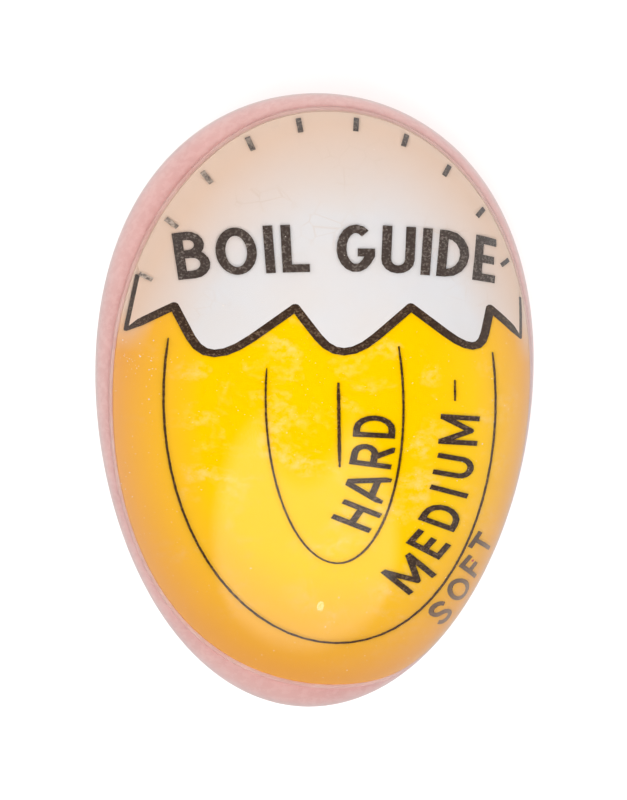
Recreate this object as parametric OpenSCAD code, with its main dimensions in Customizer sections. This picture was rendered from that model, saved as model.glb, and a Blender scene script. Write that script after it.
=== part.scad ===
// Colour-changing egg timer: a clear cast dome over a printed heat-sensitive sheet on a tinted resin base.
// The flat back lies on Z = 0 and faces down, the domed face is up, and the broad end points along +Y.

/* [Body] */
// Length of the egg, from the narrow end to the broad end
body_l = 56; // [50:0.5:68]
// Greatest width of the egg
body_w = 40; // [36:0.5:48]
// Height from the flat back to the top of the dome
body_h = 30; // [26:0.5:36]
// How much broader the egg is at its broad end
egg_taper = 0.10; // [0:0.01:0.2]
// How full the egg is at both ends
egg_fullness = 0.05; // [0:0.01:0.1]
// Height of the tinted base casting
base_h = 6; // [4:0.5:8]

/* [Printed sheet] */
// Length of the printed area, which the artwork is stretched to fit
sheet_l = 41.4; // [30:0.1:44]
// Width of the printed area, which the artwork is stretched to fit
sheet_w = 26; // [20:0.1:29]
// Squareness of the sheet's outline, where 2 is an ellipse
sheet_square = 2.15; // [2:0.05:2.6]
// Sideways offset of the sheet from the middle of the egg
sheet_x = 1.3; // [-2:0.1:2]
// Lengthways offset of the sheet from the middle of the egg
sheet_y = -0.4; // [-2:0.1:2]
// Turn of the sheet in the casting, in degrees
sheet_turn = 1.8; // [-5:0.1:5]
// Margin of bare film around the print
film_margin = 0.2; // [0.1:0.05:1]
// Thickness of the white carrier film
film_t = 0.25; // [0.2:0.05:0.5]
// Thickness of the heat-sensitive coat
coat_t = 0.15; // [0.1:0.05:0.3]
// Thickness of each printed layer
ink_t = 0.1; // [0.1:0.05:0.2]
// Sideways registration of the black print on the sheet
print_x = -0.3; // [-0.5:0.1:0.5]

/* [Shell print] */
// Width of the zigzag crack line
crack_w = 0.55; // [0.3:0.05:1]
// Width of the thin line up each side of the shell
shell_side_w = 0.26; // [0.15:0.01:0.5]
// Number of dashes around the top of the shell
mark_count = 10; // [4:1:14]
// Step from one dash to the next around the outline, in degrees
mark_step = 13.2; // [8:0.1:13.5]
// Turn of the row of dashes away from the middle of the sheet, in degrees
mark_turn = -2.3; // [-3:0.1:2]
// Length of a dash
mark_l = 0.9; // [0.5:0.1:2]
// Width of a dash
mark_w = 0.3; // [0.2:0.02:0.8]
// Gap from the edge of the print to a dash
mark_gap = 0.3; // [0.2:0.05:1]

/* [Yolk print] */
// Width of the inner zone
inner_w = 7.8; // [6:0.1:9]
// Distance from the rings' centre down to the end of the inner zone
inner_l = 12.3; // [8:0.1:13]
// Width of the outer zone
outer_w = 19.2; // [18:0.1:20]
// Distance from the rings' centre down to the end of the outer zone
outer_l = 18.4; // [16:0.1:19]
// Height of the rings' centre above the middle of the sheet
ring_y = 0.8; // [0:0.1:2]
// Width of the zone lines
zone_line_w = 0.17; // [0.1:0.01:0.3]
// Width of the middle line
mid_line_w = 0.26; // [0.15:0.01:0.5]
// Length of the middle line
mid_line_l = 6.4; // [3:0.1:8]
// Height of the middle line's lower end above the middle of the sheet
mid_line_y = -4.1; // [-5:0.1:-2]
// Length of the short dash above the middle zone's word
zone_dash_l = 1.6; // [0.8:0.1:3]
// Distance of the short dash from the middle line
zone_dash_x = 6.95; // [6:0.05:7.5]
// Height of the short dash's lower end above the middle of the sheet
zone_dash_y = 0.95; // [0.8:0.05:2]

/* [Lettering] */
// Cap height of the title
title_cap = 3.2; // [2:0.1:3.2]
// Stroke of the title
title_stroke = 0.54; // [0.3:0.02:0.6]
// Width of the title's letters, against that of the zone words
title_narrow = 0.85; // [0.8:0.01:0.9]
// Space between the letters of the title
title_space = 0.34; // [0.2:0.02:0.4]
// Height of the title's baseline above the middle of the sheet
title_y = 10.3; // [9:0.1:10.5]
// Radius of the gentle arch that the title follows
title_arch = 70; // [50:1:200]
// Cap height of the zone words
word_cap = 2.4; // [1.8:0.1:2.5]
// Stroke of the zone words
word_stroke = 0.38; // [0.25:0.01:0.44]
// Space between the letters of HARD
hard_space = 0.64; // [0.3:0.02:0.8]
// Gap between the inner zone line and the word inside it
hard_gap = 0.35; // [0.2:0.05:0.6]
// Space between the letters of MEDIUM
medium_space = 0.96; // [0.3:0.02:1]
// Gap between the outer zone line and the word inside it
medium_gap = 1.05; // [0.3:0.05:1.2]
// Gap from the end of MEDIUM up to the short dash
medium_dash_gap = 1.2; // [0.4:0.1:2]
// Space between the letters of SOFT
soft_space = 0.46; // [0.3:0.02:0.6]
// Gap between the outer zone line and the word outside it
soft_gap = 0.2; // [0.15:0.05:0.4]

/* [Hidden] */

// The egg's long axis lies level, so that the dome's top is at body_h.
axis_z = body_h - body_w / 2;
// Heights of the layers, from the back up
film_z = base_h;
coat_z = film_z + film_t;
ink_z = coat_z + coat_t;
top_ink_z = ink_z + ink_t;
pocket_top = top_ink_z + ink_t;

body_steps = 60;
sheet_steps = 96;
ring_steps = 40;
big = 2 * body_l;

// The sheet that the artwork is drawn for. All sizes of the print are sizes on this sheet.
ART_W = 26;
ART_L = 41.4;

// Corners of the crack line, as shares of half the artwork's width and half its length
CRACK = [[-0.93, 0.30], [-0.71, 0.38], [-0.57, 0.16], [-0.19, 0.375], [0.005, 0.17],
         [0.315, 0.38], [0.63, 0.20], [0.69, 0.38], [0.885, 0.28]];
// Angles on the sheet's outline where the shell's side lines begin and end
CRACK_FROM = -62;
CRACK_TO = 66;
// Angles where each ring begins at its left arm and ends at its right
INNER_ENDS = [-192, 20];
OUTER_ENDS = [-195, 12];
// Distances of the middle line and of the title's middle to the right of the rings' centre
MID_LINE_X = 0.2;
TITLE_X = 0.5;
// Angles on the rings where HARD and SOFT start
HARD_FROM = -56;
SOFT_FROM = -58;
// How much of each leg of a valley is rounded
VALLEY_ROUND = 0.5;
// How far along its first and last leg the crack line reaches its full width
CRACK_SWELL = 0.3;

// ---- curves -------------------------------------------------------------------------------

function egg_shape(t) = sqrt(max(0, 1 - t * t)) * (1 + egg_taper * t + egg_fullness * t * t);
egg_peak = max([for (i = [0:200]) egg_shape(i / 100 - 1)]);
function egg_radius(t) = body_w / 2 * egg_shape(t) / egg_peak;

// A point of the artwork's outline, at an angle measured from the broad end, inset by a distance
function power(v, p) = sign(v) * pow(abs(v), p);
function outline(a, inset = 0) = [(ART_W / 2 - inset) * power(sin(a), 2 / sheet_square),
                                  (ART_L / 2 - inset) * power(cos(a), 2 / sheet_square)];

function unit(v) = v / norm(v);
function left_of(v) = [-v[1], v[0]];
function scaled(p) = [p[0] * ART_W / 2, p[1] * ART_L / 2];

// A bend in a line: a curve from part-way back to part-way on, past the corner
function bend(a, b, c, share, n = 6) =
    let (p = b + (a - b) * share, q = b + (c - b) * share)
    [for (i = [0:n]) let (u = i / n) (1 - u) * (1 - u) * p + 2 * u * (1 - u) * b + u * u * q];

function ellipse_at(rx, ry, a) = [rx * cos(a), ry * sin(a)];
function heading(rx, ry, a) = atan2(ry * cos(a), -rx * sin(a));
// Degrees of parameter for each millimetre along an ellipse
function rate(rx, ry, a) = 180 / PI / norm([rx * sin(a), ry * cos(a)]);
function walk(rx, ry, a, s, step = 0.1) =
    s <= step ? a + s * rate(rx, ry, a) : walk(rx, ry, a + step * rate(rx, ry, a), s - step, step);

// ---- flat shapes --------------------------------------------------------------------------

// Points on one side of a line's point i, mitred, or rounded on the outside of a sharp corner
function beside(p, i, offset, n = 4) =
    let (last = len(p) - 1,
         before = left_of(unit(i == 0 ? p[1] - p[0] : p[i] - p[i - 1])),
         after = left_of(unit(i == last ? p[last] - p[last - 1] : p[i + 1] - p[i])),
         sharp_outside = sign(offset) * cross(before, after) < -0.5,
         mitre = unit(before + after))
    sharp_outside ? [for (k = [0:n]) p[i] + offset * unit(before * (n - k) + after * k)] :
                    [p[i] + mitre * offset / (mitre * before)];

// One side of a line whose width is given at each of its points
function edge(p, widths, direction) =
    [for (i = [0:len(p) - 1]) each beside(p, i, direction * widths[i] / 2)];

function reversed(p) = [for (i = [len(p) - 1:-1:0]) p[i]];

module line(p, w) {
    widths = [for (i = p) w];
    polygon(concat(edge(p, widths, 1), reversed(edge(p, widths, -1))));
}

module sheet_area(grow = 0) {
    polygon([for (i = [0:sheet_steps - 1]) outline(360 * i / sheet_steps, -grow)]);
}

// A layer of the sheet: its flat artwork, stretched to the sheet's size
module on_sheet(z, t) {
    translate([sheet_x, sheet_y, z]) rotate([0, 0, sheet_turn]) linear_extrude(t)
        scale([sheet_w / ART_W, sheet_l / ART_L]) children();
}

// ---- plain block capitals, one cap height tall before scaling ------------------------------

// Widths of the letters, where narrow squeezes all but the stem-wide I
function letter_w(c, narrow = 1) =
    c == "I" ? 0.2 : narrow * (c == "M" ? 0.95 : c == "O" || c == "A" ? 0.84 : c == "G" ? 0.8 :
                               c == "E" || c == "F" || c == "L" ? 0.56 : c == " " ? 0.3 : 0.7);

function arc(cx, cy, rx, ry, from, to, n = 8) =
    [for (i = [0:n]) let (a = from + (to - from) * i / n) [cx + rx * cos(a), cy + ry * sin(a)]];

// Centre lines of the strokes of a letter, where h is half a stroke and w is the letter's width
function bowl(h, w, low, high) =
    let (r = (high - low) / 2)
    concat([[h, high]], arc(w - h - r, (low + high) / 2, r, r, 90, -90), [[h, low]]);

function strokes(c, h, w) =
    let (stem = [[h, 0], [h, 1]], top = 1 - h)
    c == "A" ? [[[-0.02, -0.12], [w / 2 + 0.02, 1.1]], [[w + 0.02, -0.12], [w / 2 - 0.02, 1.1]],
                [[0.18, 0.3], [w - 0.18, 0.3]]] :
    c == "B" ? [stem, bowl(h, w - 0.06, 0.53, top), bowl(h, w, h, 0.53)] :
    c == "D" ? [stem, concat([[h, top]], arc(w - h - 0.36, 0.5, 0.36, 0.5 - h, 90, -90), [[h, h]])] :
    c == "E" ? [stem, [[h, h], [w, h]], [[h, 0.5], [w * 0.9, 0.5]], [[h, top], [w, top]]] :
    c == "F" ? [stem, [[h, 0.5], [w * 0.9, 0.5]], [[h, top], [w, top]]] :
    c == "G" ? [concat(arc(w / 2, 0.5, w / 2 - h, 0.5 - h, 50, 320, 14), [[w - h, 0.36], [w - h, 0.46]]),
                [[w * 0.55, 0.42], [w, 0.42]]] :
    c == "H" ? [stem, [[w - h, 0], [w - h, 1]], [[h, 0.5], [w - h, 0.5]]] :
    c == "I" ? [[[w / 2, 0], [w / 2, 1]]] :
    c == "L" ? [stem, [[h, h], [w, h]]] :
    c == "M" ? [stem, [[w - h, 0], [w - h, 1]], [[0, 1.1], [w / 2, 0.2], [w, 1.1]]] :
    c == "R" ? [stem, bowl(h, w, 0.44, top), [[w * 0.4, 0.5], [w, -0.08]]] :
    c == "S" ? [concat(arc(w / 2, 0.75 - h / 2, w / 2 - h, 0.25 - h / 2, 20, 260, 10),
                       arc(w / 2, 0.25 + h / 2, w / 2 - h, 0.25 - h / 2, 80, -160, 10))] :
    c == "T" ? [[[w / 2, 0], [w / 2, 1]], [[0, top], [w, top]]] :
    c == "U" ? [concat([[h, 1]], arc(w / 2, w / 2, w / 2 - h, w / 2 - h, 180, 360), [[w - h, 1]])] :
    [];

module ring_letter(w, s, n = 32) {
    outside = [for (i = [1:n]) [w / 2, 0.5] + ellipse_at(w / 2, 0.5, 360 * i / n)];
    inside = [for (i = [1:n]) [w / 2, 0.5] + ellipse_at(w / 2 - s, 0.5 - s, 360 * i / n)];
    polygon(concat(outside, inside), [[for (i = [0:n - 1]) i], [for (i = [0:n - 1]) n + i]]);
}

module letter(c, cap, stroke, narrow = 1) {
    s = stroke / cap;
    w = letter_w(c, narrow);
    scale(cap) {
        if (c == "O") ring_letter(w, s);
        else intersection() {
            union() { for (p = strokes(c, s / 2, w)) line(p, s); }
            square([w, 1]);
        }
    }
}

// Distance from the start of a word to the middle of its letter number k
function reach(word, k, cap, space, narrow = 1) =
    k == 0 ? letter_w(word[0], narrow) * cap / 2 :
    reach(word, k - 1, cap, space, narrow) + space +
    (letter_w(word[k - 1], narrow) + letter_w(word[k], narrow)) * cap / 2;

function word_length(word, cap, space, narrow = 1) =
    let (last = len(word) - 1)
    reach(word, last, cap, space, narrow) + letter_w(word[last], narrow) * cap / 2;

// A word on a gentle arch, centred on the sheet
module arched_word(word, cap, stroke, space, narrow, radius) {
    middle = word_length(word, cap, space, narrow) / 2;
    for (k = [0:len(word) - 1]) {
        if (word[k] != " ") {
            turn = (reach(word, k, cap, space, narrow) - middle) * 180 / PI / radius;
            rotate(-turn) translate([-letter_w(word[k], narrow) * cap / 2, radius])
                letter(word[k], cap, stroke, narrow);
        }
    }
}

// A word that reads upwards beside an ellipse, with its letters' tops turned to the middle
module ring_word(word, rx, ry, start, space) {
    for (k = [0:len(word) - 1]) {
        a = walk(rx, ry, start, reach(word, k, word_cap, space));
        translate([print_x, ring_y]) translate(ellipse_at(rx, ry, a)) rotate(heading(rx, ry, a))
            translate([-letter_w(word[k]) * word_cap / 2, 0]) letter(word[k], word_cap, word_stroke);
    }
}

// ---- shell outline --------------------------------------------------------------------------

crack_points = [for (p = CRACK) scaled(p)];
crack_last = len(CRACK) - 1;

// The zigzag between its first and last corners: the odd corners are peaks, the even ones rounded valleys
function swell(a, b) = a + (b - a) * CRACK_SWELL;
crack_first = crack_points[0];
crack_end = crack_points[crack_last];
crack_middle = concat(
    [swell(crack_first, crack_points[1])],
    [for (i = [1:crack_last - 1]) each i % 2 == 1 ? [crack_points[i]] :
        bend(crack_points[i - 1], crack_points[i], crack_points[i + 1], VALLEY_ROUND)],
    [swell(crack_end, crack_points[crack_last - 1])]);
crack_path = concat([outline(CRACK_FROM, shell_side_w), crack_first], crack_middle,
                    [crack_end, outline(CRACK_TO, shell_side_w)]);
thin_end = [shell_side_w, shell_side_w];
crack_widths = concat(thin_end, [for (i = crack_middle) crack_w], thin_end);
crack_upper = edge(crack_path, crack_widths, 1);

module crack_band() {
    polygon(concat(crack_upper, reversed(edge(crack_path, crack_widths, -1))));
}

// Everything between the crack and the broad end of the sheet
module shell_area() {
    first = floor(CRACK_TO * sheet_steps / 360);
    last = ceil(CRACK_FROM * sheet_steps / 360);
    polygon(concat(crack_upper, [for (i = [first:-1:last]) outline(360 * i / sheet_steps)]));
}

// ---- words beside the rings ------------------------------------------------------------------

// How far a word's baseline lies inside its ring: negative for a word outside the ring
hard_inset = hard_gap + zone_line_w / 2;
medium_inset = medium_gap + zone_line_w / 2;
soft_inset = -(soft_gap + zone_line_w / 2 + word_cap);

// MEDIUM ends just below the short dash, so it starts a word's length before that.
medium_end = asin((zone_dash_y - medium_dash_gap - ring_y) / (outer_l - medium_inset));
medium_from = -walk(outer_w / 2 - medium_inset, outer_l - medium_inset, -medium_end,
                    word_length("MEDIUM", word_cap, medium_space));

// ---- pieces -----------------------------------------------------------------------------------

module egg() {
    profile = [for (i = [0:body_steps]) let (t = -cos(180 * i / body_steps)) [egg_radius(t), t * body_l / 2]];
    translate([0, 0, axis_z]) rotate([-90, 0, 0]) rotate_extrude($fn = 96) polygon(profile);
}

module base_casting() {
    color("lightpink") intersection() {
        egg();
        translate([-big / 2, -big / 2, 0]) cube([big, big, base_h]);
    }
}

module carrier_film() {
    color("white") on_sheet(film_z, film_t) sheet_area(film_margin);
}

module heat_coat() {
    color("gold") on_sheet(coat_z, coat_t) sheet_area();
}

module shell_print() {
    color("linen") on_sheet(ink_z, ink_t) shell_area();
}

module crack_line() {
    color("black") on_sheet(ink_z, ink_t) crack_band();
}

module minute_marks() {
    color("dimgray") on_sheet(top_ink_z, ink_t) for (i = [0:mark_count - 1]) {
        a = mark_turn + (i - (mark_count - 1) / 2) * mark_step;
        inner = outline(a, mark_gap + mark_l);
        outer = outline(a, mark_gap);
        line([inner, inner + mark_l * unit(outer - inner)], mark_w);
    }
}

// A ring that is open towards the shell, with its arms running up to the crack
module zone_ring(w, l, ends) {
    step = (ends[1] - ends[0]) / ring_steps;
    line([for (i = [0:ring_steps]) [print_x, ring_y] + ellipse_at(w / 2, l, ends[0] + step * i)], zone_line_w);
}

module upright(x, low, length, w) {
    line([[print_x + x, low], [print_x + x, low + length]], w);
}

module zone_lines() {
    color("dimgray") on_sheet(ink_z, ink_t) {
        zone_ring(inner_w, inner_l, INNER_ENDS);
        zone_ring(outer_w, outer_l, OUTER_ENDS);
        upright(MID_LINE_X, mid_line_y, mid_line_l, mid_line_w);
        upright(zone_dash_x, zone_dash_y, zone_dash_l, zone_line_w);
    }
}

module zone_words() {
    color("dimgray") on_sheet(ink_z, ink_t) {
        ring_word("HARD", inner_w / 2 - hard_inset, inner_l - hard_inset, HARD_FROM, hard_space);
        ring_word("MEDIUM", outer_w / 2 - medium_inset, outer_l - medium_inset, medium_from, medium_space);
        ring_word("SOFT", outer_w / 2 - soft_inset, outer_l - soft_inset, SOFT_FROM, soft_space);
    }
}

module title_words() {
    color("dimgray") on_sheet(top_ink_z, ink_t) translate([TITLE_X + print_x, title_y - title_arch])
        arched_word("BOIL GUIDE", title_cap, title_stroke, title_space, title_narrow, title_arch);
}

module dome_lens() {
    color("lightcyan", 0.35) difference() {
        intersection() {
            egg();
            translate([-big / 2, -big / 2, base_h]) cube([big, big, body_h]);
        }
        on_sheet(film_z, film_t) sheet_area(film_margin);
        on_sheet(coat_z, pocket_top - coat_z) sheet_area();
    }
}

base_casting();
carrier_film();
heat_coat();
shell_print();
crack_line();
minute_marks();
zone_lines();
zone_words();
title_words();
dome_lens();
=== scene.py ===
import math
import random

import bmesh
import bpy
from mathutils import Matrix, Vector


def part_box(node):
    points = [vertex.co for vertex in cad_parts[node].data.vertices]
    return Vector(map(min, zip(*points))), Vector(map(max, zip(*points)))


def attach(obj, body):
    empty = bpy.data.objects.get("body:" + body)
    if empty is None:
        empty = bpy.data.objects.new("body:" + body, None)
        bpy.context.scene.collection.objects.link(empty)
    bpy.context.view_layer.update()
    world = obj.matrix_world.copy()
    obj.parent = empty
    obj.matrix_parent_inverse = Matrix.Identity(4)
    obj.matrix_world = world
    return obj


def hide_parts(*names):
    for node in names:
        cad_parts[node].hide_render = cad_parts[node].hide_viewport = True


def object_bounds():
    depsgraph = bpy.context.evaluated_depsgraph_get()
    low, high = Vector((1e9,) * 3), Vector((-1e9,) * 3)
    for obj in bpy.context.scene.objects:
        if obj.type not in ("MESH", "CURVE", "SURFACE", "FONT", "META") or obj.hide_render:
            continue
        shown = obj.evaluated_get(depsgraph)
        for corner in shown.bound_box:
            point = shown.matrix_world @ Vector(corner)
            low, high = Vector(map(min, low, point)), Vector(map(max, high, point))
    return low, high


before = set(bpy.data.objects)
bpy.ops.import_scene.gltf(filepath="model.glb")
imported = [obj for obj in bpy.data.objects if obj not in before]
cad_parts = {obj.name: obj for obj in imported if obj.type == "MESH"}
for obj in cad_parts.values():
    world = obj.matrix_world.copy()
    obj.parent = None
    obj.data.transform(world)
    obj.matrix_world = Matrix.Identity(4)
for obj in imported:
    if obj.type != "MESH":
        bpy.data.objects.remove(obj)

# Looks of a colour-changing egg timer: a clear cast dome over a printed sheet on a pink resin base.
# The print is flat. What the camera sees of it is bent and enlarged by the dome alone.

MM = 0.001
cad_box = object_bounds()
low, high = cad_box

# ---- sizes, from the frame --------------------------------------------------------------

BODY_L = high.y - low.y
BODY_W = high.x - low.x
BODY_H = high.z
AXIS_Z = BODY_H - BODY_W / 2
MID_Y = (high.y + low.y) / 2
BASE_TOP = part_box("base_casting")[1].z

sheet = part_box("heat_coat")
SHEET_MID = (sheet[0] + sheet[1]) / 2
SHEET_HALF = (sheet[1] - sheet[0]) / 2

# The egg's outline, as in the CAD model
EGG_TAPER = 0.10
EGG_FULLNESS = 0.05

# How far the dome is sunk into the base, so that no film of air lies between them
SINK = 0.02 * MM
BACK_ROUND = 0.5 * MM
SEAM_ROUND = 0.06 * MM
BACK_HOLLOW = 0.12 * MM

# How finely the pieces are meshed, and how near two vertices are when they count as one
DOME_RINGS = 150
DOME_AROUND = 200
BASE_AROUND = 240
BACK_RINGS = 8
ROUND_STEPS = 6
SIDE_LEVELS = 8
SAME_PLACE = 1e-7


def egg_shape(t):
    return math.sqrt(max(0.0, 1 - t * t)) * (1 + EGG_TAPER * t + EGG_FULLNESS * t * t)


EGG_PEAK = max(egg_shape(i / 500 - 1) for i in range(1001))


def egg_radius(y):
    """Radius of the egg about its long axis, at a place along it."""
    return BODY_W / 2 * egg_shape((y - MID_Y) / (BODY_L / 2)) / EGG_PEAK


# ---- mesh helpers ------------------------------------------------------------------------


def new_object(name, mesh):
    obj = bpy.data.objects.new(name, mesh)
    bpy.context.scene.collection.objects.link(obj)
    return obj


def finished_piece(name, bm, material, slot, replaces=(), sharp=35):
    """A mesh turned into a piece that rides on the root body."""
    bmesh.ops.recalc_face_normals(bm, faces=bm.faces)
    mesh = bpy.data.meshes.new(name)
    bm.to_mesh(mesh)
    bm.free()
    mesh.shade_smooth()
    mesh.set_sharp_from_angle(angle=math.radians(sharp))
    mesh.materials.append(material)
    piece = new_object(name, mesh)
    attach(piece, "root")
    if replaces:
        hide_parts(*replaces)
    return piece


def egg_of_revolution(bm, rings, around):
    """The whole egg as a mesh, with its long axis along Y."""
    rows = []
    for i in range(1, rings):
        y = MID_Y - BODY_L / 2 * math.cos(math.pi * i / rings)
        r = egg_radius(y)
        rows.append([bm.verts.new((r * math.cos(a), y, AXIS_Z + r * math.sin(a)))
                     for a in (math.tau * k / around for k in range(around))])
    for one, two in zip(rows, rows[1:]):
        for k in range(around):
            n = (k + 1) % around
            bm.faces.new((one[k], one[n], two[n], two[k]))
    for row, y in ((rows[0], MID_Y - BODY_L / 2), (rows[-1], MID_Y + BODY_L / 2)):
        tip = bm.verts.new((0, y, AXIS_Z))
        for k in range(around):
            bm.faces.new((row[k], row[(k + 1) % around], tip))


def level_outline(z, inset, count):
    """Points round the egg at one height, moved inwards by inset."""
    depth = abs(z - AXIS_Z)

    def end(direction):
        near, far = MID_Y, MID_Y + direction * BODY_L / 2
        for _ in range(50):
            half = (near + far) / 2
            near, far = (half, far) if egg_radius(half) > depth else (near, half)
        return near

    back, front = end(-1), end(1)
    points = []
    for k in range(count):
        a = math.tau * k / count
        y = (front + back) / 2 + (front - back) / 2 * math.sin(a)
        x = math.sqrt(max(0.0, egg_radius(y) ** 2 - depth ** 2))
        points.append(Vector((math.copysign(x, math.cos(a)), y, z)))
    middle = Vector((0, (front + back) / 2, z))
    half_w, half_l = BODY_W / 2, (front - back) / 2
    for p in points:
        away = Vector(((p.x - middle.x) / half_w ** 2, (p.y - middle.y) / half_l ** 2, 0))
        if away.length > 0:
            p -= away.normalized() * inset
    return points


def add_loop(bm, points):
    return [bm.verts.new(p) for p in points]


def bridge(bm, one, two):
    count = len(one)
    for k in range(count):
        n = (k + 1) % count
        bm.faces.new((one[k], one[n], two[n], two[k]))


# ---- materials -----------------------------------------------------------------------------


class Finish:
    """A node material in the making: a Principled shader and the textures that feed it."""

    def __init__(self, name, colour, roughness, **values):
        self.material = bpy.data.materials.new(name)
        self.material.use_nodes = True
        self.tree = self.material.node_tree
        self.shader = self.tree.nodes["Principled BSDF"]
        self.shader.inputs["Base Color"].default_value = (*colour, 1)
        self.shader.inputs["Roughness"].default_value = roughness
        for key, value in values.items():
            self.shader.inputs[key.replace("_", " ")].default_value = value
        self.place = self.tree.nodes.new("ShaderNodeTexCoord").outputs["Object"]

    def noise(self, size, detail=3.0, roughness=0.55, distortion=0.0):
        """Cloudy noise whose features are about size metres across."""
        node = self.tree.nodes.new("ShaderNodeTexNoise")
        node.inputs["Scale"].default_value = 1 / size
        node.inputs["Detail"].default_value = detail
        node.inputs["Roughness"].default_value = roughness
        node.inputs["Distortion"].default_value = distortion
        self.tree.links.new(self.place, node.inputs["Vector"])
        return node.outputs["Fac"]

    def spread(self, value, start, end, out_start=0.0, out_end=1.0):
        """A value's range from start to end, stretched to out_start to out_end."""
        node = self.tree.nodes.new("ShaderNodeMapRange")
        ends = {"From Min": start, "From Max": end, "To Min": out_start, "To Max": out_end}
        for key, number in ends.items():
            node.inputs[key].default_value = number
        self.tree.links.new(value, node.inputs["Value"])
        return node.outputs["Result"]

    def crackle(self, size, width):
        """1 along fine lines between cells of about size metres, 0 elsewhere."""
        node = self.tree.nodes.new("ShaderNodeTexVoronoi")
        node.feature = "DISTANCE_TO_EDGE"
        node.inputs["Scale"].default_value = 1 / size
        self.tree.links.new(self.place, node.inputs["Vector"])
        return self.spread(node.outputs["Distance"], 0, width, 1, 0)

    def times(self, one, two):
        node = self.tree.nodes.new("ShaderNodeMath")
        node.operation = "MULTIPLY"
        self.tree.links.new(one, node.inputs[0])
        self.tree.links.new(two, node.inputs[1])
        return node.outputs["Value"]

    def mix(self, amount, one, two):
        """Two colours mixed by amount. Each is a colour or another node's output."""
        node = self.tree.nodes.new("ShaderNodeMix")
        node.data_type = "RGBA"
        self.tree.links.new(amount, node.inputs["Factor"])
        for key, colour in (("A", one), ("B", two)):
            socket = next(s for s in node.inputs if s.name == key and s.type == "RGBA")
            if isinstance(colour, tuple):
                socket.default_value = (*colour, 1)
            else:
                self.tree.links.new(colour, socket)
        return next(s for s in node.outputs if s.type == "RGBA")

    def along_y(self, start, end):
        """0 below and 1 above two heights on the sheet, given as shares of half its length."""
        parts = self.tree.nodes.new("ShaderNodeSeparateXYZ")
        self.tree.links.new(self.place, parts.inputs["Vector"])
        heights = [SHEET_MID.y + share * SHEET_HALF.y for share in (start, end)]
        return self.spread(parts.outputs["Y"], *heights)

    def edge_drift(self, start, end):
        """0 in the middle of the sheet, rising to 1 towards its edge."""
        node = self.tree.nodes.new("ShaderNodeMapping")
        node.vector_type = "TEXTURE"
        node.inputs["Location"].default_value = (SHEET_MID.x, SHEET_MID.y, 0)
        node.inputs["Scale"].default_value = (SHEET_HALF.x, SHEET_HALF.y, 1e6)
        length = self.tree.nodes.new("ShaderNodeVectorMath")
        length.operation = "LENGTH"
        self.tree.links.new(self.place, node.inputs["Vector"])
        self.tree.links.new(node.outputs["Vector"], length.inputs[0])
        return self.spread(length.outputs["Value"], start, end)

    def feed(self, socket, value):
        self.tree.links.new(value, self.shader.inputs[socket])

    def bump(self, height, depth):
        node = self.tree.nodes.new("ShaderNodeBump")
        node.inputs["Distance"].default_value = depth
        node.inputs["Strength"].default_value = 1.0
        self.tree.links.new(height, node.inputs["Height"])
        self.feed("Normal", node.outputs["Normal"])


def clear_resin():
    """Clear casting resin, polished, with faint scuffs and a trace of warm tint in its depth."""
    f = Finish("clear_resin", (1, 1, 1), 0.0, IOR=1.5, Transmission_Weight=1.0)
    scuffs = f.spread(f.noise(2.5 * MM, 6, 0.7, 1.5), 0.62, 0.78)
    f.feed("Roughness", f.spread(scuffs, 0, 1, 0.0, 0.06))
    tint = f.tree.nodes.new("ShaderNodeVolumeAbsorption")
    tint.inputs["Color"].default_value = (1.0, 0.965, 0.945, 1)
    tint.inputs["Density"].default_value = 25
    f.tree.links.new(tint.outputs["Volume"], f.tree.nodes["Material Output"].inputs["Volume"])
    return f.material


def pink_resin():
    """Dusty pink casting resin, a little cloudy, with pigment swirls."""
    f = Finish("pink_resin", (0.80, 0.44, 0.41), 0.3, Specular_IOR_Level=0.3)
    swirls = f.spread(f.noise(7 * MM, 4, 0.6, 2.0), 0.35, 0.65)
    grain = f.spread(f.noise(0.5 * MM, 3), 0.42, 0.75)
    colour = f.mix(swirls, (0.83, 0.47, 0.44), (0.77, 0.40, 0.375))
    f.feed("Base Color", f.mix(f.spread(grain, 0, 1, 0, 0.5), colour, (0.86, 0.56, 0.53)))
    f.feed("Roughness", f.spread(grain, 0, 1, 0.22, 0.42))
    f.bump(f.noise(1.6 * MM, 4), 0.005 * MM)
    return f.material


def film():
    """Carrier film, seen only along its cut edge, where it takes up the pink of the base."""
    f = Finish("white_film", (0.80, 0.72, 0.66), 0.75, Specular_IOR_Level=0.0)
    clouds = f.spread(f.noise(1.5 * MM), 0.4, 0.6)
    f.feed("Base Color", f.mix(clouds, (0.80, 0.55, 0.50), (0.77, 0.48, 0.44)))
    return f.material


def yolk_coat():
    """Heat-sensitive coat: yolk yellow with pale patches, turned orange at the edge by painted pink light
    reflected from the base, and pale beside the shell, where the shell's colour with that painted pink light
    is used.
    """
    f = Finish("yellow_heat_coat", (0.95, 0.62, 0.0), 0.75, Specular_IOR_Level=0.0)
    patches = f.spread(f.noise(3.4 * MM, 3, 0.6, 0.3), 0.50, 0.64)
    mottle = f.spread(f.noise(0.5 * MM, 4, 0.6), 0.40, 0.66)
    yellow = f.mix(f.times(patches, mottle), YOLK, YOLK_PALE)
    # Painted light: towards the sheet's edge the yellow is mixed with orange, standing in for pink light
    # reflected from the base
    with_reflected_pink = f.mix(f.edge_drift(0.60, 0.98), yellow, YOLK_REFLECTED_PINK)
    specks = f.mix(f.spread(f.noise(0.16 * MM, 2), 0.70, 0.76), with_reflected_pink, (0.95, 0.74, 0.45))
    # Beside the shell near the edge, the coat takes the shell's edge colour, which carries the same painted
    # pink reflected light
    beside_shell = f.times(f.along_y(0.20, 0.36), f.edge_drift(0.86, 0.95))
    f.feed("Base Color", f.mix(beside_shell, specks, SHELL_REFLECTED_PINK))
    return f.material


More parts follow.
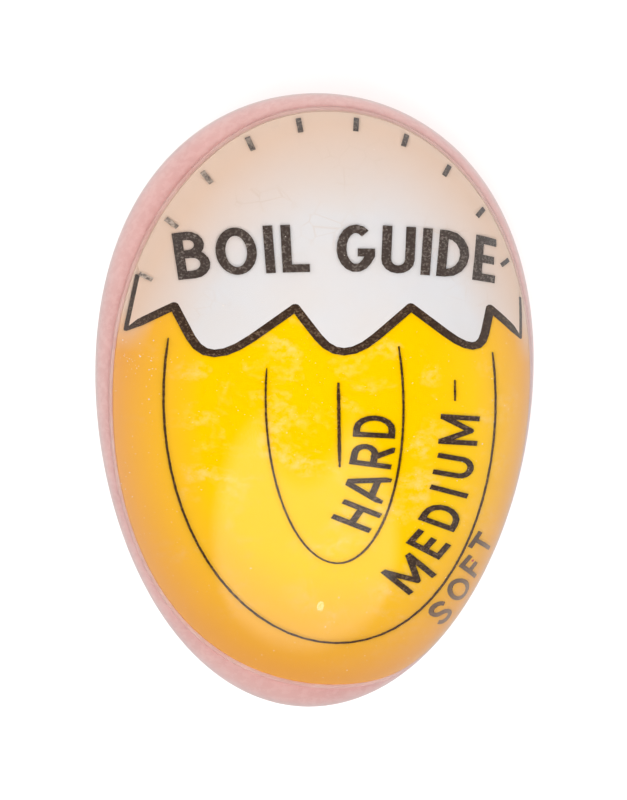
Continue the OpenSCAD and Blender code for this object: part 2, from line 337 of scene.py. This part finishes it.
def shell_ink():
    """Off-white print: cool in the middle, with faint crazing, and peach at the edge, where painted pink
    light reflected from the base is mixed in.
    """
    f = Finish("white_ink", (0.80, 0.78, 0.75), 0.75, Specular_IOR_Level=0.0)
    clouds = f.spread(f.noise(5 * MM, 4), 0.35, 0.65)
    white = f.mix(clouds, SHELL, SHELL_WARM)
    # Painted light: towards the sheet's edge the white is mixed with peach, standing in for pink light
    # reflected from the base
    with_reflected_pink = f.mix(f.edge_drift(0.68, 0.96), white, SHELL_REFLECTED_PINK)
    crazing = f.times(f.crackle(1.1 * MM, 0.04), f.spread(f.noise(4 * MM, 3), 0.50, 0.64, 0, 0.35))
    f.feed("Base Color", f.mix(f.times(crazing, f.edge_drift(0.45, 0.7)), with_reflected_pink, (0.62, 0.50, 0.40)))
    return f.material


def ink(name, colour, thin, fading=0.0, edge=None):
    """Black ink, mottled with fine specks where it lies thin.

    It may fade towards the sheet's left, and pale to another colour at the sheet's edge.
    """
    f = Finish(name, colour, 0.75, Specular_IOR_Level=0.0)
    patches = f.spread(f.noise(1.8 * MM, 4, 0.6, 0.6), 0.40, 0.66, 0.25, 1)
    specks = f.spread(f.noise(0.16 * MM, 3, 0.7), 0.50, 0.64)
    colours = f.mix(f.times(patches, specks), colour, thin)
    if fading:
        across = f.tree.nodes.new("ShaderNodeSeparateXYZ")
        f.tree.links.new(f.place, across.inputs["Vector"])
        left = f.spread(across.outputs["X"], SHEET_MID.x - 0.15 * SHEET_HALF.x, SHEET_MID.x - SHEET_HALF.x)
        worn = f.times(f.spread(left, 0, 1, 0, fading), f.spread(f.noise(0.25 * MM, 3), 0.35, 0.60))
        colours = f.mix(worn, colours, FADED)
    if edge:
        colours = f.mix(f.edge_drift(0.74, 0.92), colours, edge)
    f.feed("Base Color", colours)
    return f.material


INK = (0.045, 0.027, 0.018)
INK_THIN = (0.22, 0.15, 0.10)
FADED = (0.66, 0.55, 0.46)
YOLK = (0.97, 0.60, 0.0)
YOLK_PALE = (0.96, 0.65, 0.13)
# Painted light: the yolk's edge colour, its own yellow with pink light reflected from the base painted in
YOLK_REFLECTED_PINK = (0.85, 0.38, 0.05)
SHELL = (0.70, 0.72, 0.75)
SHELL_WARM = (0.71, 0.70, 0.70)
# Painted light: the shell's edge colour, its own off-white with pink light reflected from the base painted
# in
SHELL_REFLECTED_PINK = (0.75, 0.57, 0.45)

MATERIALS = {
    "carrier_film": film(),
    "heat_coat": yolk_coat(),
    "shell_print": shell_ink(),
    "minute_marks": ink("grey_ink", (0.07, 0.055, 0.05), (0.30, 0.24, 0.20), 1.0),
    "title_words": ink("title_ink", (0.06, 0.046, 0.040), (0.30, 0.26, 0.23)),
    "zone_lines": ink("line_ink", (0.060, 0.030, 0.012), (0.24, 0.14, 0.05)),
    "zone_words": ink("word_ink", INK, INK_THIN, edge=(0.24, 0.15, 0.09)),
    "crack_line": ink("black_ink", INK, INK_THIN),
}


# ---- pieces ---------------------------------------------------------------------------------


def clear_dome():
    """The clear dome as one smooth closed solid that the print lies inside."""
    bm = bmesh.new()
    egg_of_revolution(bm, DOME_RINGS, DOME_AROUND)
    cut = Vector((0, 0, BASE_TOP - SINK))
    geometry = bm.verts[:] + bm.edges[:] + bm.faces[:]
    bmesh.ops.bisect_plane(bm, geom=geometry, dist=SAME_PLACE, plane_co=cut, plane_no=(0, 0, -1),
                           clear_outer=True)
    rim = [e for e in bm.edges if e.is_boundary]
    bmesh.ops.edgeloop_fill(bm, edges=rim)
    return finished_piece("clear_dome", bm, clear_resin(), "clear_resin", ["dome_lens"])


def pink_base():
    """The tinted base, with a rounded back edge, a faint seam and a back that shrank a little hollow."""
    bm = bmesh.new()
    back = level_outline(0, 0, BASE_AROUND)
    middle = sum(back, Vector()) / BASE_AROUND
    loops = []
    for k in range(1, BACK_RINGS):
        share = k / BACK_RINGS
        points = [middle + (p - middle) * share for p in back]
        for p in points:
            p.z = BACK_HOLLOW * (1 - share ** 2) if k < BACK_RINGS - 1 else 0
        loops.append(points)
    for k in range(ROUND_STEPS + 1):
        a = math.pi / 2 * k / ROUND_STEPS
        z, inset = BACK_ROUND * (1 - math.cos(a)), BACK_ROUND * (1 - math.sin(a))
        loops.append(level_outline(z, inset, BASE_AROUND))
    for k in range(1, SIDE_LEVELS + 1):
        z = BACK_ROUND + (BASE_TOP - SEAM_ROUND - BACK_ROUND) * k / SIDE_LEVELS
        loops.append(level_outline(z, 0, BASE_AROUND))
    loops.append(level_outline(BASE_TOP, SEAM_ROUND, BASE_AROUND))
    rows = [add_loop(bm, points) for points in loops]
    for one, two in zip(rows, rows[1:]):
        bridge(bm, one, two)
    bm.faces.new(rows[0])
    bm.faces.new(rows[-1])
    return finished_piece("pink_base", bm, pink_resin(), "tinted_resin", ["base_casting"])


def specks(name, material, slot, clouds):
    """Tiny uneven beads scattered in boxes inside the dome.

    A cloud is a count, a size and the two corners of its box, in millimetres.
    """
    dice = random.Random(5)
    bm = bmesh.new()
    for count, size, low_corner, high_corner in clouds:
        for _ in range(count):
            place = Vector(dice.uniform(a, b) for a, b in zip(low_corner, high_corner)) * MM
            radius = size * dice.uniform(0.5, 1.0) * MM
            if math.hypot(place.x, place.z - AXIS_Z) > egg_radius(place.y) - 2 * radius:
                continue
            turn = Matrix.Rotation(dice.uniform(0, math.pi), 4, Vector((dice.random(), dice.random(), 1)))
            shape = Matrix.Diagonal((dice.uniform(0.6, 1.3), dice.uniform(0.7, 1.1), 0.8, 1))
            bmesh.ops.create_icosphere(bm, subdivisions=2, radius=radius,
                                       matrix=Matrix.Translation(place) @ turn @ shape)
    return finished_piece(name, bm, material, slot)


def speck_finish(name, colour, other):
    """Air or pigment caught in the resin: small enough to look matt."""
    f = Finish(name, colour, 0.5, Specular_IOR_Level=0.0)
    f.feed("Base Color", f.mix(f.spread(f.noise(0.1 * MM, 2), 0.4, 0.6), colour, other))
    return f.material


# Air caught over the sheet's left side, along its right edge, in the broad end of the rim and, more
# thinly, over the rest of the print
AIR = [(10, 0.06, (-12.0, -1, 6.75), (-9.2, 5, 7.4)), (12, 0.035, (-11.2, 2, 6.75), (-10.2, 3.6, 7.0)),
       (9, 0.045, (-9.6, 1, 6.75), (-9.1, 3.4, 7.0)), (16, 0.045, (-12.6, -12, 6.75), (-10.4, 0, 7.6)),
       (10, 0.05, (8.5, -6, 6.75), (12.6, 3, 7.6)), (18, 0.06, (0.5, 25.6, 7), (4, 27.2, 11)),
       (10, 0.045, (-9, -20, 6.8), (9, -12, 9)), (10, 0.04, (-8, 6, 6.8), (8, 20, 10))]
PIGMENT = [(2, 0.11, (9.6, -12.2, 6.8), (10.0, -11.8, 6.9)), (2, 0.12, (8.2, -23.8, 7.2), (8.6, -23.2, 7.6)),
           (2, 0.08, (-15.5, -9, 6.6), (-14, -5, 7))]

# The printed lines are drawn thinner than the CAD's, and a little uneven
LINE_THIN = 0.70
LINE_TAPER = 0.45
LINE_RAGGED = 0.16
# A stroke's rows stand this far apart, and a strip's end is narrower than the second, in millimetres
STROKE_STEP = 0.12
WIDEST_END = 0.4


def strip_outline(island):
    """The rim of a flat strip's top face, in order."""
    top = max(v.co.z for v in island)
    upper = {v for v in island if v.co.z > top - 1e-6}
    rim = {}
    for v in upper:
        rim[v] = [e.other_vert(v) for e in v.link_edges if e.other_vert(v) in upper
                  and any(abs(f.normal.z) < 0.5 for f in e.link_faces)]
    start = next(iter(sorted(upper, key=lambda v: (v.co.x, v.co.y))))
    loop, last = [start], None
    while True:
        following = next(v for v in rim[loop[-1]] if v is not last)
        if following is start:
            return [v.co.copy() for v in loop]
        last = loop[-1]
        loop.append(following)


def strip_sides(loop):
    """The two long sides of a strip's rim, from one end to the other."""
    count = len(loop)

    def corner(k):
        before = (loop[k] - loop[k - 1]).normalized()
        after = (loop[(k + 1) % count] - loop[k]).normalized()
        return before.dot(after) < 0.5

    ends = [k for k in range(count) if corner(k) and corner((k + 1) % count)
            and (loop[(k + 1) % count] - loop[k]).length < WIDEST_END * MM]
    first, second = ends
    one = [loop[k % count] for k in range(first + 1, second + 1)]
    two = [loop[k % count] for k in range(first + count, second, -1)]
    return one, two


def islands(bm):
    """Groups of vertices that hang together."""
    left = set(bm.verts)
    while left:
        group, edge = set(), [left.pop()]
        while edge:
            v = edge.pop()
            group.add(v)
            for e in v.link_edges:
                other = e.other_vert(v)
                if other in left:
                    left.discard(other)
                    edge.append(other)
        yield group


def drawn_lines():
    """The zone lines, drawn along the middle of the CAD's with an uneven, tapering stroke."""
    source = bmesh.new()
    source.from_mesh(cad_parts["zone_lines"].data)
    bmesh.ops.remove_doubles(source, verts=source.verts, dist=SAME_PLACE)
    source.normal_update()
    bottom, top = (corner.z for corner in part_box("zone_lines"))
    dice = random.Random(3)
    bm = bmesh.new()
    for island in sorted(islands(source), key=lambda g: min(v.co.x for v in g)):
        one, two = strip_sides(strip_outline(island))
        pairs = []
        for (a, b), (c, d) in zip(zip(one, two), zip(one[1:], two[1:])):
            steps = max(1, round((c - a).length / (STROKE_STEP * MM)))
            pairs += [(a.lerp(c, k / steps), b.lerp(d, k / steps)) for k in range(steps)]
        pairs.append((one[-1], two[-1]))
        rows = []
        for k, (a, b) in enumerate(pairs):
            from_end = min(k, len(pairs) - 1 - k) * STROKE_STEP
            taper = 1 - LINE_TAPER * max(0, 1 - from_end)
            share = LINE_THIN * taper * (1 + dice.uniform(-1, 1) * LINE_RAGGED)
            middle, half = (a + b) / 2, (b - a) / 2 * share
            left, right = middle - half, middle + half
            corners = ((left, bottom), (right, bottom), (right, top), (left, top))
            rows.append([bm.verts.new((p.x, p.y, z)) for p, z in corners])
        for row, following in zip(rows, rows[1:]):
            bridge(bm, row, following)
        bm.faces.new(rows[0])
        bm.faces.new(rows[-1])
    source.free()
    return finished_piece("drawn_lines", bm, MATERIALS["zone_lines"], "black_ink", ["zone_lines"])


# The lowest letter of the printed words leans this much more than the CAD's, and those above it less
WORD_LEAN = math.radians(20)
OUTER_WORD_SIZE = 0.84


def drawn_words():
    """The zone words, each letter turned in its place, with the word outside the outer line smaller."""
    bm = bmesh.new()
    bm.from_mesh(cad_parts["zone_words"].data)
    bmesh.ops.remove_doubles(bm, verts=bm.verts, dist=SAME_PLACE)
    bottom, top = (corner.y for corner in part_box("zone_words"))
    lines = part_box("zone_lines")
    middle_x, half_w = (lines[0].x + lines[1].x) / 2, (lines[1].x - lines[0].x) / 2
    half_l = SHEET_MID.y - lines[0].y
    for letter in islands(bm):
        ends = [[pick(v.co[axis] for v in letter) for axis in range(3)] for pick in (min, max)]
        middle = (Vector(ends[0]) + Vector(ends[1])) / 2
        outside = math.hypot((middle.x - middle_x) / half_w, (middle.y - SHEET_MID.y) / half_l) > 1
        size = OUTER_WORD_SIZE if outside else 1
        turn = Matrix.Rotation(-WORD_LEAN * (top - middle.y) / (top - bottom), 4, "Z")
        shape = turn @ Matrix.Diagonal((size, size, 1, 1))
        change = Matrix.Translation(middle) @ shape @ Matrix.Translation(-middle)
        for v in letter:
            v.co = change @ v.co
    return finished_piece("drawn_words", bm, MATERIALS["zone_words"], "black_ink", ["zone_words"])


# ---- stage, light and camera ------------------------------------------------------------------

SKY_LEVEL = 1.3
TABLE_GLOW = 0.65
# The soft panel in front of the timer, as its reflections show it
PANEL_AIM = (0, -math.sin(math.radians(56)), math.cos(math.radians(56)))
PANEL_REACH = math.radians(42)
PANEL_SOFT = math.radians(9)
PANEL_LEVEL = 1.7
# The panel leaves the sky free straight overhead, and fades out between two heights near the table.
# The table's own glow rises from the first height, where there is none, to the second
OVERHEAD_GAP = (math.radians(22), math.radians(32))
PANEL_FOOT = (-0.05, 0.22)
TABLE_FADE = (0.55, -0.75)
AIM = Vector((0, 0, AXIS_Z))
CAMERA_TILT = math.radians(4)
CAMERA_ROLL = math.radians(1.6)
CAMERA_DISTANCE = 0.5
CAMERA_LENS = 246.4


def floor():
    """A plain pale floor."""
    mesh = bpy.data.meshes.new("floor")
    half = 2.0
    corners = [(-half, -half, 0), (half, -half, 0), (half, half, 0), (-half, half, 0)]
    mesh.from_pydata(corners, [], [(0, 1, 2, 3)])
    f = Finish("floor", (0.94, 0.94, 0.94), 0.8, Specular_IOR_Level=0.0)
    mesh.materials.append(f.material)
    plate = new_object("floor", mesh)
    plate.visible_glossy = False


def soft_sky():
    """Even light from all sides. Reflections see a dark studio with one soft panel and a pale table."""
    world = bpy.data.worlds.new("studio")
    bpy.context.scene.world = world
    world.use_nodes = True
    tree = world.node_tree

    def node(kind, operation=None, *links, **values):
        new = tree.nodes.new(kind)
        if operation:
            new.operation = operation
        for index, output in enumerate(links):
            tree.links.new(output, new.inputs[index])
        for key, value in values.items():
            new.inputs[key.replace("_", " ")].default_value = value
        return new

    def step(value, start, end, level=1.0):
        """0 at start, rising smoothly to level at end."""
        new = node("ShaderNodeMapRange", None, value, From_Min=start, From_Max=end, To_Max=level)
        new.interpolation_type = "SMOOTHSTEP"
        return new.outputs["Result"]

    direction = node("ShaderNodeTexCoord").outputs["Generated"]
    height = node("ShaderNodeSeparateXYZ", None, direction).outputs["Z"]
    facing = node("ShaderNodeVectorMath", "DOT_PRODUCT", direction)
    facing.inputs[1].default_value = PANEL_AIM
    panel = step(facing.outputs["Value"], math.cos(PANEL_REACH + PANEL_SOFT), math.cos(PANEL_REACH),
                 PANEL_LEVEL)
    below_overhead = step(height, *(math.cos(edge) for edge in OVERHEAD_GAP))
    above_table = step(height, *PANEL_FOOT)
    lit_panel = node("ShaderNodeMath", "MULTIPLY", panel, below_overhead).outputs["Value"]
    lit_panel = node("ShaderNodeMath", "MULTIPLY", lit_panel, above_table).outputs["Value"]
    table = step(height, *TABLE_FADE, TABLE_GLOW)
    mirrored = node("ShaderNodeMath", "ADD", lit_panel, table).outputs["Value"]
    ray = node("ShaderNodeLightPath").outputs
    reflected = node("ShaderNodeMath", "SUBTRACT", ray["Is Glossy Ray"], ray["Is Transmission Ray"])
    reflected.use_clamp = True
    level = node("ShaderNodeMix", None, reflected.outputs["Value"], A=SKY_LEVEL)
    tree.links.new(mirrored, level.inputs["B"])
    tree.links.new(level.outputs["Result"], tree.nodes["Background"].inputs["Strength"])
    tree.nodes["Background"].inputs["Color"].default_value = (1, 1, 1, 1)


def lamp(name, tilt, side, distance, size, level, mirrored):
    """An oval area light that faces the timer. It tilts from overhead towards -Y, then turns to a side."""
    data = bpy.data.lights.new(name, "AREA")
    data.shape = "ELLIPSE"
    data.size, data.size_y = size
    data.energy = level * math.pi * math.pi / 4 * size[0] * size[1]
    light = new_object(name, data)
    tilt, side = math.radians(tilt), math.radians(side)
    low = math.sin(tilt)
    towards = Vector((math.sin(side) * low, -math.cos(side) * low, math.cos(tilt)))
    light.location = AIM + towards * distance
    light.rotation_euler = towards.to_track_quat("Z", "Y").to_euler()
    light.visible_glossy = mirrored


def camera():
    """The camera stands over the timer and leans a little to its right."""
    data = bpy.data.cameras.new("camera")
    data.lens = CAMERA_LENS
    data.sensor_width = 36
    cam = new_object("camera", data)
    back = Vector((math.sin(CAMERA_TILT), 0, math.cos(CAMERA_TILT)))
    right = Vector((math.cos(CAMERA_TILT), 0, -math.sin(CAMERA_TILT)))
    up = back.cross(right)
    turned_right = right * math.cos(CAMERA_ROLL) + up * math.sin(CAMERA_ROLL)
    turned_up = up * math.cos(CAMERA_ROLL) - right * math.sin(CAMERA_ROLL)
    turn = Matrix((turned_right, turned_up, back)).transposed()
    cam.matrix_world = Matrix.Translation(AIM + back * CAMERA_DISTANCE) @ turn.to_4x4()
    bpy.context.scene.camera = cam


# ---- making it ---------------------------------------------------------------------------------

for node, material in MATERIALS.items():
    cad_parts[node].material_slots[0].material = material
pink_base()
clear_dome()
drawn_lines()
drawn_words()
air = speck_finish("air_specks", (0.92, 0.86, 0.80), (0.86, 0.76, 0.66))
specks("caught_air", air, "clear_resin", AIR)
red = speck_finish("red_crumbs", (0.62, 0.05, 0.05), (0.75, 0.16, 0.14))
specks("pigment_crumbs", red, "tinted_resin", PIGMENT)
floor()
soft_sky()
lamp("front_softbox", 54, 0, 0.6, (1.25, 0.82), 1.2, False)
lamp("small_lamp", 65, 9, 0.6, (0.04, 0.04), 5, True)
camera()
bpy.context.scene.view_settings.view_transform = "Standard"
